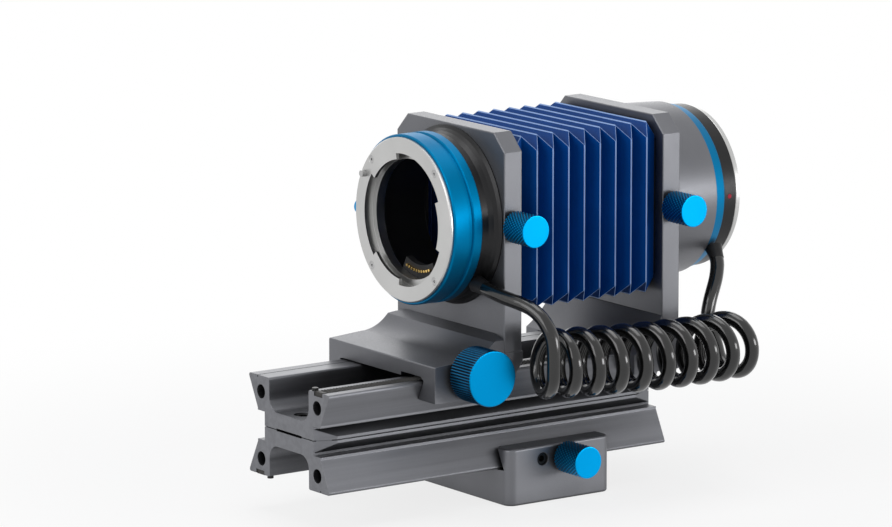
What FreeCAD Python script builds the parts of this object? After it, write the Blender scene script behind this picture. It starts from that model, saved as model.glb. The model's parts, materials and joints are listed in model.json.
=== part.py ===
import FreeCAD, Part
import math
import os
import re
import Sketcher

# Macro bellows unit, in millimetres. +Y runs from the lens to the camera, +Z is up. The origin is the
# mouth of the tripod thread, in the focusing block's bottom face.

Vector = FreeCAD.Vector
doc = FreeCAD.newDocument("macro_bellows_unit")

DIMENSIONS = {
    # optical axis and rails
    "axis_height": 103.9,
    "joint_height": 31.6,
    "rail_length": 150.0,
    "rail_front": -97.1,
    "rail_depth": 18.15,
    "rail_half_width": 26.0,
    "rail_edge": 1.0,
    "rail_round": 0.7,
    "waist_half_width": 20.05,
    "waist_height": 6.2,
    "step_height": 5.3,
    "neck_half_width": 15.6,
    "lip_half_width": 18.7,
    "lip_height": 1.2,
    "trough_half_width": 12.6,
    "trough_floor": 6.2,
    "trough_round": 5.0,
    "recess_half_width": 8.0,
    "recess_depth": 0.45,
    "port_across": 17.9,
    "port_height": 12.35,
    "port_radius": 2.6,
    "scribe_across": 20.0,
    "scribe_half_width": 0.25,
    "scribe_depth": 0.8,
    "joint_relief": 0.15,
    "end_facet": 10.8,
    "stop_pin_across": 14.5,
    "stop_pin_inset": 1.6,
    "stop_pin_radius": 1.15,
    # racks and pinions
    "slot_inner": 16.0,
    "slot_outer": 21.3,
    "slot_floor": 16.65,
    "gear_module": 0.4,
    "pinion_teeth": 16,
    "rack_pitch_height": 17.95,
    "rack_margin": 0.3,
    "gear_backlash": 0.12,
    # joining screws of the rails
    "join_first": 6.3,
    "join_spacing": 45.8,
    "join_sink_radius": 3.5,
    "join_sink_depth": 2.4,
    "join_head_radius": 3.3,
    "join_head_height": 2.0,
    "join_shank_radius": 2.0,
    # front carriage
    "body_half_width": 33.4,
    "carriage_front": -56.8,
    "carriage_rear": -18.0,
    "carriage_jaw_foot": 42.9,
    "carriage_nose_height": 56.3,
    "ramp_start": -42.4,
    "ramp_base": 57.25,
    "ramp_radius": 15.6,
    "ramp_top": 64.5,
    "crown_start": 25.0,
    "crown_radius": 19.5,
    "standard_foot": 57.9,
    "standard_top": 137.35,
    "standard_thickness": 7.8,
    "standard_corner": 6.6,
    "standard_bore": 27.0,
    "front_standard_face": -26.3,
    "rear_standard_face": 45.2,
    "edge_round": 0.5,
    # rear foot
    "foot_front": 32.6,
    "foot_ramp_radius": 35.4,
    "foot_ramp_y": 13.93,
    "foot_ramp_z": 80.15,
    # focusing block
    "block_half_width": 30.6,
    "block_front": -22.2,
    "block_rear": 23.8,
    "block_top": 21.1,
    # slide fit
    "slide_gap": 0.2,
    "slide_roof": 18.65,
    "rack_roof": 20.0,
    "rack_roof_inner": 12.2,
    "rack_roof_outer": 24.5,
    # drives
    "drive_y": -41.6,
    "focus_drive_y": -4.2,
    "drive_bore": 3.75,
    "shaft_radius": 2.0,
    "running_gap": 0.05,
    "drive_knob_radius": 10.2,
    "drive_knob_length": 12.9,
    "knob_gap": 1.2,
    # clamp knobs and screws
    "lock_knob_radius": 6.0,
    "lock_knob_length": 12.7,
    "release_y": -42.9,
    "stud_radius": 1.5,
    "clamp_height": 14.8,
    "focus_clamp_height": 15.5,
    "clamp_offset": 2.7,
    "friction_offset": -6.9,
    "shoe_radius": 2.9,
    "friction_radius": 2.4,
    "carriage_middle": -37.4,
    # bellows
    "folds": 9,
    "fold_peak_width": 33.4,
    "fold_valley_width": 28.0,
    "fold_peak_height": 31.8,
    "fold_valley_height": 26.7,
    "fold_corner": 1.2,
    "bellows_wall": 1.0,
    "bellows_drop": 0.4,
    "frame_half_width": 28.8,
    "frame_half_height": 25.2,
    "frame_bar": 4.5,
    "frame_depth": 2.0,
    # tripod insert
    "tripod_thread_radius": 4.0,
    "tripod_insert_radius": 7.0,
    "tripod_depth": 9.0,
    "small_thread_radius": 2.55,
    "small_thread_y": 13.0,
    # curly cord
    "cord_diameter": 5.2,
    "coil_outer_diameter": 25.6,
    # mounts for lens and camera
    "lens_throat": 22.0,
    "camera_throat": 20.5,
}

sheet = doc.addObject("Spreadsheet::Sheet", "dims")
for row_number, (alias, number) in enumerate(DIMENSIONS.items(), start=1):
    sheet.set("A%d" % row_number, alias)
    sheet.set("B%d" % row_number, str(number))
    sheet.setAlias("B%d" % row_number, alias)
doc.recompute()
size = {alias: float(getattr(sheet, alias)) for alias in DIMENSIONS}

AXIS_TURNS = {
    "+x": FreeCAD.Rotation(Vector(0, 1, 0), 90),
    "-x": FreeCAD.Rotation(Vector(0, 1, 0), -90),
    "+y": FreeCAD.Rotation(Vector(1, 0, 0), -90),
    "-y": FreeCAD.Rotation(Vector(1, 0, 0), 90),
    "+z": FreeCAD.Rotation(),
    "-z": FreeCAD.Rotation(Vector(1, 0, 0), 180),
}
UPSIDE_DOWN = FreeCAD.Rotation(Vector(0, 1, 0), 180)

# Heights of the two pinions: above the upper rail and below the lower one.
FLANK_SLOPE = "(rail_half_width - waist_half_width) / (rail_depth - waist_height)"
PINION_HIGH = "joint_height + rack_pitch_height + gear_module * pinion_teeth / 2"
PINION_LOW = "joint_height - rack_pitch_height - gear_module * pinion_teeth / 2"

nodes = {}


# ---------------------------------------------------------------- helpers

def formula(text):
    """Turn an expression of bare aliases into one that reads the sheet."""
    return re.sub(r"[a-z]\w*", lambda word: "dims." + word.group(0), str(text))


def bind(thing, **formulas):
    for name, text in formulas.items():
        thing.setExpression(name, formula(text))
    return thing


def place(thing, at, turn=None):
    thing.Placement = FreeCAD.Placement(Vector(), turn or FreeCAD.Rotation())
    for letter, text in zip("xyz", at):
        thing.setExpression("Placement.Base." + letter, formula(text))
    return thing


def cylinder(radius, length, at, axis="+z"):
    thing = doc.addObject("Part::Cylinder", "cylinder")
    bind(thing, Radius=radius, Height=length)
    return place(thing, at, AXIS_TURNS[axis])


def cone(radius_start, radius_end, length, at, axis="+z"):
    thing = doc.addObject("Part::Cone", "cone")
    bind(thing, Radius1=radius_start, Radius2=radius_end, Height=length)
    return place(thing, at, AXIS_TURNS[axis])


def box(low, extent):
    thing = doc.addObject("Part::Box", "box")
    bind(thing, Length=extent[0], Width=extent[1], Height=extent[2])
    return place(thing, low)


def hexagon(radius, length, at, axis="+z"):
    thing = doc.addObject("Part::Prism", "hexagon")
    thing.Polygon = 6
    bind(thing, Circumradius=radius, Height=length)
    return place(thing, at, AXIS_TURNS[axis])


def fuse(*things):
    if len(things) == 1:
        return things[0]
    joined = doc.addObject("Part::MultiFuse", "fuse")
    joined.Shapes = list(things)
    return joined


def cut(base, *tools):
    result = doc.addObject("Part::Cut", "cut")
    result.Base = base
    result.Tool = fuse(*tools)
    return result


def common(base, tool):
    result = doc.addObject("Part::Common", "common")
    result.Base = base
    result.Tool = tool
    return result


def group(things):
    joined = doc.addObject("Part::Compound", "group")
    joined.Links = list(things)
    return joined


def node(label, thing):
    thing.Label = label
    nodes[label] = thing
    return thing


def feature(name, shape):
    thing = doc.addObject("Part::Feature", name)
    thing.Shape = shape
    return thing


def origin_plane(body, role):
    return next(item for item in body.Origin.OriginFeatures if item.Role == role)


def add_polygon(sketch, corners):
    """Close a polygon and bind every corner's two coordinates to the sheet."""
    count = len(corners)
    first = sketch.GeometryCount
    ring = [Vector(10 * math.cos(2 * math.pi * i / count), 10 * math.sin(2 * math.pi * i / count), 0)
            for i in range(count + 1)]
    for i in range(count):
        sketch.addGeometry(Part.LineSegment(ring[i], ring[i + 1]), False)
    for i in range(count):
        following = first + (i + 1) % count
        sketch.addConstraint(Sketcher.Constraint("Coincident", first + i, 2, following, 1))
    for i, corner in enumerate(corners):
        for kind, text in zip(("DistanceX", "DistanceY"), corner):
            index = sketch.addConstraint(Sketcher.Constraint(kind, -1, 1, first + i, 1, 1.0))
            sketch.setExpression("Constraints[%d]" % index, formula(text))


def add_circle(sketch, across, up, radius):
    index = sketch.addGeometry(Part.Circle(Vector(1, 1, 0), Vector(0, 0, 1), 1.0), False)
    for kind, text in (("DistanceX", across), ("DistanceY", up)):
        mark = sketch.addConstraint(Sketcher.Constraint(kind, -1, 1, index, 3, 1.0))
        sketch.setExpression("Constraints[%d]" % mark, formula(text))
    mark = sketch.addConstraint(Sketcher.Constraint("Radius", index, 1.0))
    sketch.setExpression("Constraints[%d]" % mark, formula(radius))


def body_with_sketch(plane, corners, circles=()):
    body = doc.addObject("PartDesign::Body", "body")
    sketch = body.newObject("Sketcher::SketchObject", "outline")
    sketch.AttachmentSupport = (origin_plane(body, plane), "")
    sketch.MapMode = "FlatFace"
    add_polygon(sketch, corners)
    for circle in circles:
        add_circle(sketch, *circle)
    return body, sketch


def padded(plane, corners, length, at, turn=None, circles=()):
    """Extrude an outline: along +X on YZ_Plane, along +Y on XZ_Plane, along +Z on XY_Plane."""
    body, sketch = body_with_sketch(plane, corners, circles)
    pad = body.newObject("PartDesign::Pad", "pad")
    pad.Profile = sketch
    pad.Reversed = plane == "XZ_Plane"
    bind(pad, Length=length)
    return place(body, at, turn)


def turned(plane, corners, at, turn=None):
    """Revolve (along, radius) corners about +Y on YZ_Plane or about +X on XZ_Plane."""
    body, sketch = body_with_sketch(plane, corners)
    revolution = body.newObject("PartDesign::Revolution", "revolution")
    revolution.Profile = sketch
    revolution.ReferenceAxis = (sketch, ["H_Axis"])
    revolution.Angle = 360.0
    return place(body, at, turn)


def rounded(body, radius, wanted):
    """Fillet the edges of a body's tip whose middle point passes the test."""
    doc.recompute()
    base = body.Tip
    names = []
    for number, edge in enumerate(base.Shape.Edges, start=1):
        middle = edge.valueAt((edge.FirstParameter + edge.LastParameter) / 2)
        if wanted(middle):
            names.append("Edge%d" % number)
    fillet = body.newObject("PartDesign::Fillet", "rounds")
    fillet.Base = (base, names)
    bind(fillet, Radius=radius)
    return body


def cap_screw(head_radius, head_height, shank_radius, shank_length, at, axis):
    """A socket head screw: at is the top of its head, axis is the way it is driven."""
    head = cylinder(head_radius, head_height, (0, 0, 0))
    shank = cylinder(shank_radius, shank_length, (0, 0, head_height))
    socket = hexagon("%s * 0.55" % head_radius, "%s * 0.6" % head_height, (0, 0, 0))
    return place(cut(fuse(head, shank), socket), at, AXIS_TURNS[axis])


# ---------------------------------------------------------------- rails, racks and pinions

def rail(label, turn):
    """One extrusion, drawn from the joint plane up. The lower rail is the same, upside down."""
    edge = "rail_half_width - rail_edge * %s" % FLANK_SLOPE
    outline = [
        ("-recess_half_width", "recess_depth"), ("recess_half_width", "recess_depth"),
        ("recess_half_width", 0), ("lip_half_width - 0.8", 0), ("lip_half_width - 0.8", "joint_relief"),
        ("lip_half_width", "joint_relief"), ("lip_half_width", "lip_height"),
        ("neck_half_width", "lip_height + lip_half_width - neck_half_width"),
        ("neck_half_width", "step_height"), ("waist_half_width", "step_height"),
        ("waist_half_width", "waist_height"), (edge, "rail_depth - rail_edge"), (edge, "rail_depth"),
        ("slot_outer", "rail_depth"), ("slot_outer", "slot_floor"),
        ("slot_inner", "slot_floor"), ("slot_inner", "rail_depth"),
        ("trough_half_width", "rail_depth"), ("trough_half_width", "trough_floor"),
        ("-trough_half_width", "trough_floor"), ("-trough_half_width", "rail_depth"),
        ("-scribe_across + scribe_half_width", "rail_depth"),
        ("-scribe_across + scribe_half_width", "rail_depth - scribe_depth"),
        ("-scribe_across - scribe_half_width", "rail_depth - scribe_depth"),
        ("-scribe_across - scribe_half_width", "rail_depth"),
        ("-(%s)" % edge, "rail_depth"), ("-(%s)" % edge, "rail_depth - rail_edge"),
        ("-waist_half_width", "waist_height"),
        ("-waist_half_width", "step_height"), ("-neck_half_width", "step_height"),
        ("-neck_half_width", "lip_height + lip_half_width - neck_half_width"),
        ("-lip_half_width", "lip_height"), ("-lip_half_width", "joint_relief"),
        ("-lip_half_width + 0.8", "joint_relief"), ("-lip_half_width + 0.8", 0),
        ("-recess_half_width", 0),
    ]
    ports = [("port_across", "port_height", "port_radius"), ("-port_across", "port_height", "port_radius")]
    body = padded("XZ_Plane", outline, "rail_length", (0, 0, 0), circles=ports)
    trough, floor = size["trough_half_width"], size["trough_floor"]
    length, depth, slot = size["rail_length"], size["rail_depth"], size["slot_outer"]

    def top_corner(p):
        outside_slot = abs(p.x) < trough + 0.01 or abs(p.x) > slot + 1
        return outside_slot and abs(p.z - depth) < 0.01 and abs(p.y - length / 2) < 0.01

    rounded(body, "trough_round",
            lambda p: abs(abs(p.x) - trough) < 0.01 and abs(p.z - floor) < 0.01)
    rounded(body, "rail_round", top_corner)
    tools = []
    for number in range(4):
        along = "join_first + join_spacing * %d" % number
        tools.append(cylinder("join_sink_radius", 10, (0, along, "trough_floor - join_sink_depth")))
        tools.append(cylinder("join_shank_radius + running_gap", 20, (0, along, -5)))
    tools.append(cylinder("stop_pin_radius + running_gap", 6,
                          ("stop_pin_across", "stop_pin_inset", "rail_depth - 3.1")))
    tools += end_relief()
    return node(label, place(cut(body, *tools), (0, "rail_front", "joint_height"), turn))


def end_relief():
    """Both ends of the base lips are milled off by a long facet, and the joint is eased there."""
    tools = []
    for start, way in (("0", "+"), ("rail_length", "-")):
        for side in ("", "-"):
            corners = [
                (side + "neck_half_width", start + " " + way + " (-1)"),
                (side + "(lip_half_width + 1)", start + " " + way + " (-1)"),
                (side + "(lip_half_width + 1)", start + " " + way + " end_facet"),
                (side + "neck_half_width", start),
            ]
            tools.append(padded("XY_Plane", corners, "step_height - 0.3", (0, 0, 0)))
        tools.append(box(("-neck_half_width - 1", start + " - 1", -1),
                         ("2 * neck_half_width + 2", 2, "1 + joint_relief")))
    return tools


def rack_shape(gap_at):
    """A toothed strip from the slot's floor up, with a tooth gap at gap_at along Y."""
    pitch = math.pi * size["gear_module"]
    tip = size["rack_pitch_height"] + size["gear_module"]
    root = size["rack_pitch_height"] - 1.25 * size["gear_module"]
    slope = math.tan(math.radians(20))
    half_gap = pitch / 4 + size["gear_backlash"] / 4
    low, high = size["rack_margin"], size["rail_length"] - size["rack_margin"]
    first = math.ceil((low + pitch - gap_at) / pitch)
    last = math.floor((high - pitch - gap_at) / pitch)
    top = [(low, tip)]
    for number in range(first, last + 1):
        middle = gap_at + number * pitch
        wide = half_gap + slope * size["gear_module"]
        narrow = half_gap - slope * 1.25 * size["gear_module"]
        top += [(middle - wide, tip), (middle - narrow, root), (middle + narrow, root), (middle + wide, tip)]
    top.append((high, tip))
    corners = top + [(high, size["slot_floor"]), (low, size["slot_floor"]), (low, tip)]
    inner = size["slot_inner"] + size["running_gap"]
    width = size["slot_outer"] - size["slot_inner"] - 2 * size["running_gap"]
    wire = Part.makePolygon([Vector(inner, y, z) for y, z in corners])
    return Part.Face(wire).extrude(Vector(width, 0, 0))


def rack(label, pinion_y, turn):
    strip = feature(label, rack_shape(pinion_y - size["rail_front"]))
    return node(label, place(strip, (0, "rail_front", "joint_height"), turn))


def pinion_outline():
    """Involute teeth, one of them pointing down, as (y, z) points."""
    module, teeth = size["gear_module"], int(size["pinion_teeth"])
    pitch_radius = module * teeth / 2
    base_radius = pitch_radius * math.cos(math.radians(20))
    tip_radius, root_radius = pitch_radius + 0.95 * module, pitch_radius - 1.2 * module
    at_pitch = math.tan(math.radians(20)) - math.radians(20)
    half_tooth = math.pi / 2 / teeth - size["gear_backlash"] / 4 / pitch_radius
    flank = [(root_radius, half_tooth + at_pitch)]
    for step in range(4):
        radius = base_radius + (tip_radius - base_radius) * step / 3
        pressure = math.acos(min(1.0, base_radius / radius))
        flank.append((radius, half_tooth + at_pitch - (math.tan(pressure) - pressure)))
    points = []
    for tooth in range(teeth):
        middle = -math.pi / 2 + 2 * math.pi * tooth / teeth
        points += [(radius, middle - angle) for radius, angle in flank]
        points += [(radius, middle + angle) for radius, angle in reversed(flank)]
    return [(radius * math.cos(angle), radius * math.sin(angle)) for radius, angle in points]


def pinion_shaft(label, y, z, half_width, turn):
    """Pinion cut on its shaft, along +X before it is turned into place."""
    corners = [Vector(size["slot_inner"], along, up) for along, up in pinion_outline()]
    width = size["slot_outer"] - size["slot_inner"] - 2 * size["running_gap"]
    face = Part.Face(Part.makePolygon(corners + corners[:1]))
    teeth = feature("pinion", face.extrude(Vector(width, 0, 0)))
    place(teeth, ("running_gap", 0, 0))
    shaft = cylinder("shaft_radius", "%s + 2.6" % half_width, (10, 0, 0), "+x")
    return node(label, place(fuse(teeth, shaft), (0, y, z), turn))


def drive_bore(y, z, turn):
    """Room for the pinion, the bush and the shaft's inner end."""
    wide = cylinder("drive_bore", "body_half_width - slot_inner + 2", ("slot_inner - 0.5", 0, 0), "+x")
    narrow = cylinder("shaft_radius + running_gap", 10, (9, 0, 0), "+x")
    return place(fuse(wide, narrow), (0, y, z), turn)


def bush(label, y, z, outer_face, turn):
    corners = [
        (26.5, "shaft_radius + running_gap"), (26.5, "drive_bore - 0.02"),
        (outer_face, "drive_bore - 0.02"), (outer_face, 4.9),
        ("%s + 0.8" % outer_face, 4.9), ("%s + 0.8" % outer_face, "shaft_radius + running_gap"),
    ]
    return node(label, turned("XZ_Plane", corners, (0, y, z), turn))


def drive_knob(label, y, z, half_width, turn):
    inner = "%s + knob_gap" % half_width
    outer = "%s + drive_knob_length" % inner
    corners = [
        (inner, "shaft_radius + 0.02"), (inner, "drive_knob_radius - 1.8"),
        ("%s + 0.7" % inner, "drive_knob_radius - 0.5"), ("%s + 1.6" % inner, "drive_knob_radius"),
        ("%s - 0.3" % outer, "drive_knob_radius"), (outer, "drive_knob_radius - 0.3"),
        (outer, 0), ("%s - 1.4" % outer, 0), ("%s - 1.4" % outer, "shaft_radius + 0.02"),
    ]
    return node(label, turned("XZ_Plane", corners, (0, y, z), turn))


def lock_knob(label, y, z, inner, turn, extra=0):
    """A small clamp knob whose blind bore holds its stud; inner is the end next to the body."""
    outer = "%s + lock_knob_length + %s" % (inner, extra)
    corners = [
        (inner, "stud_radius + 0.02"), (inner, "lock_knob_radius - 1.4"),
        ("%s + 0.5" % inner, "lock_knob_radius - 0.5"), ("%s + 1.5" % inner, "lock_knob_radius"),
        ("%s - 0.25" % outer, "lock_knob_radius"), (outer, "lock_knob_radius - 0.25"),
        (outer, 0), ("%s - 3" % outer, 0), ("%s - 3" % outer, "stud_radius + 0.02"),
    ]
    return node(label, turned("XZ_Plane", corners, (0, y, z), turn))


def stud(label, tip, end, y, z, turn):
    """The clamp knob's steel stud, with a 90 degree point whose end is flat."""
    corners = [
        (tip, 0), (tip, 0.3), ("%s + stud_radius - 0.3" % tip, "stud_radius"),
        (end, "stud_radius"), (end, 0),
    ]
    return node(label, turned("XZ_Plane", corners, (0, y, z), turn))


# ---------------------------------------------------------------- sliding jaws

def rail_channel(gap, roof, rack_height, turn, start=-200, length=400):
    """The space that a pair of jaws leaves for the rail, drawn like the upper rail."""
    shoulder = "rail_half_width + %s + %s * 0.45" % (gap, FLANK_SLOPE)
    foot = "waist_half_width + %s" % gap
    corners = [
        ("-(%s)" % foot, -1), (foot, -1), (foot, "waist_height"), (shoulder, "rail_depth + 0.45"),
        ("rack_roof_outer", rack_height), ("rack_roof_inner", rack_height), ("rack_roof_inner", roof),
        ("-rack_roof_outer", roof), ("-(%s)" % shoulder, "rail_depth + 0.22"),
        ("-(%s)" % foot, "waist_height"),
    ]
    return padded("XZ_Plane", corners, length, (0, start, "joint_height"), turn)


def clamp_screws(prefix, holder_y, height, half_width, turn, extra=0):
    """Shoe, lock knob, stud and friction screw of one pair of jaws; turn puts them on -X."""
    y = "%s + clamp_offset" % holder_y
    outward, inward, side = ("-x", "+x", "-") if turn else ("+x", "-x", "")
    rod = cylinder("shoe_radius", 9, (side + "20", y, height), outward)
    fitted = rail_channel("0.02", "slide_roof", "rack_roof", None if turn else UPSIDE_DOWN)
    node(prefix + "_clamp_shoe", cut(rod, fitted))
    lock_knob(prefix + "_lock_knob", y, height, "%s + knob_gap" % half_width, turn, extra)
    stud(prefix + "_lock_stud", 29.05, "%s + 10.5" % half_width, y, height, turn)
    head = (side + "(%s - 0.8)" % half_width, "%s + friction_offset" % holder_y, height)
    body = cylinder("friction_radius", "%s - 26.9" % half_width, head, inward)
    socket = hexagon("friction_radius * 0.55", 2, head, inward)
    node(prefix + "_friction_screw", cut(body, socket))


def clamp_bores(holder_y, height, half_width, turn):
    y = "%s + clamp_offset" % holder_y
    way, side = ("-x", "-") if turn else ("+x", "")
    return [
        cylinder("shoe_radius + running_gap", 11.1, (side + "18", y, height), way),
        cylinder("stud_radius + running_gap", 20, (side + "20", y, height), way),
        cylinder("friction_radius + running_gap", 10.5,
                 (side + "(%s - 8)" % half_width, "%s + friction_offset" % holder_y, height), way),
    ]


# ---------------------------------------------------------------- focusing block

def focusing_block():
    corners = [("block_front", 0), ("block_rear", 0), ("block_rear", "block_top"),
               ("block_front", "block_top")]
    body = padded("YZ_Plane", corners, "2 * block_half_width", ("-block_half_width", 0, 0))
    height = size["block_top"]

    def upright(end):
        return lambda p: abs(p.y - size[end]) < 0.01 and abs(p.z - height / 2) < 0.01

    rounded(body, 4, upright("block_front"))
    rounded(body, 3, upright("block_rear"))
    rounded(body, 0.9, lambda p: min(abs(p.z), abs(p.z - height)) < 0.01)
    clamp_z = "joint_height - focus_clamp_height"
    tools = [
        rail_channel("slide_gap", "slide_roof", "rack_roof", UPSIDE_DOWN),
        rail_channel("slide_gap + 1.2", "slide_roof", "rack_roof", UPSIDE_DOWN, "block_front - 1", 3),
        drive_bore("focus_drive_y", PINION_LOW, UPSIDE_DOWN),
        cylinder("tripod_insert_radius + 0.02", "tripod_depth", (0, 0, 0)),
        cylinder("small_thread_radius", 8, (0, "small_thread_y", 0)),
    ]
    tools += clamp_bores("0", clamp_z, "block_half_width", None)
    node("focus_block", cut(body, *tools))
    insert = [
        (0, "tripod_thread_radius"), (0, "tripod_insert_radius - 0.4"), (0.4, "tripod_insert_radius"),
        ("tripod_depth", "tripod_insert_radius"), ("tripod_depth", "tripod_thread_radius"),
    ]
    node("tripod_insert", turned("XZ_Plane", insert, (0, 0, 0), AXIS_TURNS["-x"]))
    clamp_screws("focus", "0", clamp_z, "block_half_width", None, 1)
    bush("focus_bush", "focus_drive_y", PINION_LOW, "block_half_width", UPSIDE_DOWN)
    pinion_shaft("focus_pinion_shaft", "focus_drive_y", PINION_LOW, "block_half_width", UPSIDE_DOWN)
    drive_knob("focus_drive_knob", "focus_drive_y", PINION_LOW, "block_half_width", UPSIDE_DOWN)


# ---------------------------------------------------------------- standards

def front_carriage():
    corners = [
        ("carriage_front", "carriage_jaw_foot"), ("carriage_front", "carriage_nose_height"),
        ("ramp_start", "ramp_base"), ("front_standard_face", "ramp_top"),
        ("front_standard_face", "standard_foot"),
        ("carriage_rear", "standard_foot"), ("carriage_rear", 54.4),
        ("carriage_rear - 7.5", "carriage_jaw_foot"),
    ]
    body = padded("YZ_Plane", corners, "2 * body_half_width", ("-body_half_width", 0, 0))
    middle = size["body_half_width"]
    front = size["carriage_front"]
    rounded(body, "edge_round", lambda p: abs(p.x - middle) < 0.1 and abs(p.y - front) < 0.01)
    height = "joint_height + clamp_height"
    ramp = cylinder("ramp_radius", "2 * body_half_width + 2",
                    ("-body_half_width - 1", "ramp_start", "ramp_base + ramp_radius"), "+x")
    tools = [
        ramp,
        rail_channel("slide_gap", "slide_roof", "rack_roof", None),
        drive_bore("drive_y", PINION_HIGH, None),
    ]
    tools += [ramp_crown(side) for side in ("", "-")]
    tools += clamp_bores("carriage_middle", height, "body_half_width", UPSIDE_DOWN)
    tools += standard_screw_holes("front_standard_face")
    node("front_carriage", cut(body, *tools))
    clamp_screws("carriage", "carriage_middle", height, "body_half_width", UPSIDE_DOWN)
    bush("drive_bush", "drive_y", PINION_HIGH, "body_half_width", None)
    pinion_shaft("drive_pinion_shaft", "drive_y", PINION_HIGH, "body_half_width", None)
    drive_knob("front_drive_knob", "drive_y", PINION_HIGH, "body_half_width", None)


def ramp_crown(side):
    """What comes off the top of the ramp where it falls away towards one side."""
    reach = "(body_half_width - crown_start + 1)"
    low = "crown_start" if side == "" else "-crown_start - " + reach
    corner = box((low, "ramp_start", "ramp_top - 4"), (reach, "front_standard_face - ramp_start", 5))
    barrel = cylinder("crown_radius", 40,
                      (side + "crown_start", "ramp_start - 5", "ramp_top - crown_radius"), "+y")
    return cut(corner, barrel)


def rear_foot():
    corners = [
        ("foot_front", "carriage_jaw_foot"), ("foot_front", "standard_foot + 7"),
        ("rear_standard_face", "standard_foot + 7"), ("rear_standard_face", "standard_foot"),
        ("rear_standard_face + standard_thickness", "standard_foot"),
        ("rear_standard_face + standard_thickness", "carriage_jaw_foot"),
    ]
    body = padded("YZ_Plane", corners, "2 * body_half_width", ("-body_half_width", 0, 0))
    ramp = cylinder("foot_ramp_radius", "2 * body_half_width + 2",
                    ("-body_half_width - 1", "foot_ramp_y", "foot_ramp_z"), "+x")
    tools = [ramp, rail_channel("0.02", "rail_depth", "rail_depth + 0.8", None)]
    tools += standard_screw_holes("rear_standard_face")
    tools += [cylinder(1.6, 12, (side + "(body_half_width + 1)", 46.0, 46.4), way)
              for side, way in (("", "-x"), ("-", "+x"))]
    node("rear_foot", cut(body, *tools))
    clamps = [cylinder(1.55, 7.2, (side + "(body_half_width - 0.6)", 46.0, 46.4), way)
              for side, way in (("", "-x"), ("-", "+x"))]
    sockets = [hexagon(0.9, 1.5, (side + "(body_half_width - 0.6)", 46.0, 46.4), way)
               for side, way in (("", "-x"), ("-", "+x"))]
    node("rear_foot_screws", group([cut(clamp, socket) for clamp, socket in zip(clamps, sockets)]))


def standard_screw_holes(face):
    middle = face + " + standard_thickness / 2"
    return [cylinder(radius, length, (across, middle, start))
            for across in (-20, 20)
            for radius, length, start in ((3.5, 5.0, 49.0), (2.1, 20.0, 49.0))]


def standard(prefix, face, pocket_start, frame_start):
    """A plate with a round bore, its screws, lock knob, and the bellows frame in its pocket."""
    corners = [
        ("-body_half_width", "standard_foot"), ("body_half_width", "standard_foot"),
        ("body_half_width", "standard_top - standard_corner"),
        ("body_half_width - standard_corner", "standard_top"),
        ("-body_half_width + standard_corner", "standard_top"),
        ("-body_half_width", "standard_top - standard_corner"),
    ]
    body = padded("XZ_Plane", corners, "standard_thickness", (0, face, 0))
    thickness, foot, side = size["standard_thickness"], size["standard_foot"], size["body_half_width"]

    def softened(p):
        on_face = min(abs(p.y), abs(p.y - thickness)) < 0.01
        return (on_face and p.z > foot + 0.01) or (abs(p.z - foot) < 0.01 and abs(abs(p.x) - side) < 0.01)

    rounded(body, "edge_round * 0.8", softened)
    middle = face + " + standard_thickness / 2"
    centre = "axis_height - bellows_drop"
    tools = [
        cylinder("standard_bore", 30, (0, face + " - 10", "axis_height"), "+y"),
        box(("-frame_half_width - 0.1", pocket_start, centre + " - frame_half_height - 0.1"),
            ("2 * frame_half_width + 0.2", "frame_depth + 10", "2 * frame_half_height + 0.2")),
        cylinder("stud_radius + running_gap", 30, (10, middle, "axis_height"), "+x"),
    ]
    tools += [cylinder(2.05, 10, (across, middle, "standard_foot - 1")) for across in (-20, 20)]
    node(prefix + "_standard", cut(body, *tools))
    screws = [cap_screw("3.3", "3.0", "2.0", 12.5, (across, middle, 51.0), "+z") for across in (-20, 20)]
    node(prefix + "_standard_screws", group(screws))
    outer = box(("-frame_half_width", frame_start, centre + " - frame_half_height"),
                ("2 * frame_half_width", "frame_depth - 0.2", "2 * frame_half_height"))
    inner_low = ("-frame_half_width + frame_bar", frame_start + " - 5",
                 centre + " - frame_half_height + frame_bar")
    inner = box(inner_low, ("2 * (frame_half_width - frame_bar)", 20,
                            "2 * (frame_half_height - frame_bar)"))
    node(prefix + "_bellows_frame", cut(outer, inner))
    lock_knob(prefix + "_lock_knob", middle, "axis_height", "body_half_width + 1.1", None)
    stud(prefix + "_lock_stud", 25.95, 44.1, middle, "axis_height", None)


# ---------------------------------------------------------------- adapters

def ring_screws(label, face, radius, way, angles, head_radius=1.5):
    """Countersunk screws in a mount's flange, heads flush with its face."""
    sign = 1 if way == "+y" else -1
    screws = []
    for angle in angles:
        across = radius * math.cos(math.radians(angle))
        up = radius * math.sin(math.radians(angle))
        head = cone(head_radius, 0.9, 0.8, (0, 0, 0))
        shank = cylinder(0.9, 4.6, (0, 0, 0.6))
        slot = hexagon(0.55, 0.5, (0, 0, 0))
        at = (across, "%s + %s" % (face, 0.05 * sign), "axis_height + %s" % up)
        screws.append(place(cut(fuse(head, shank), slot), at, AXIS_TURNS[way]))
    return node(label, group(screws))


def ring_screw_holes(face, radius, way, angles, head_radius=1.55):
    tools = []
    for angle in angles:
        across = radius * math.cos(math.radians(angle))
        up = "axis_height + %s" % (radius * math.sin(math.radians(angle)))
        tools.append(cone(head_radius, 0.95, 0.9, (across, face, up), way))
        tools.append(cylinder(0.95, 7, (across, face, up), way))
    return tools


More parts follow.
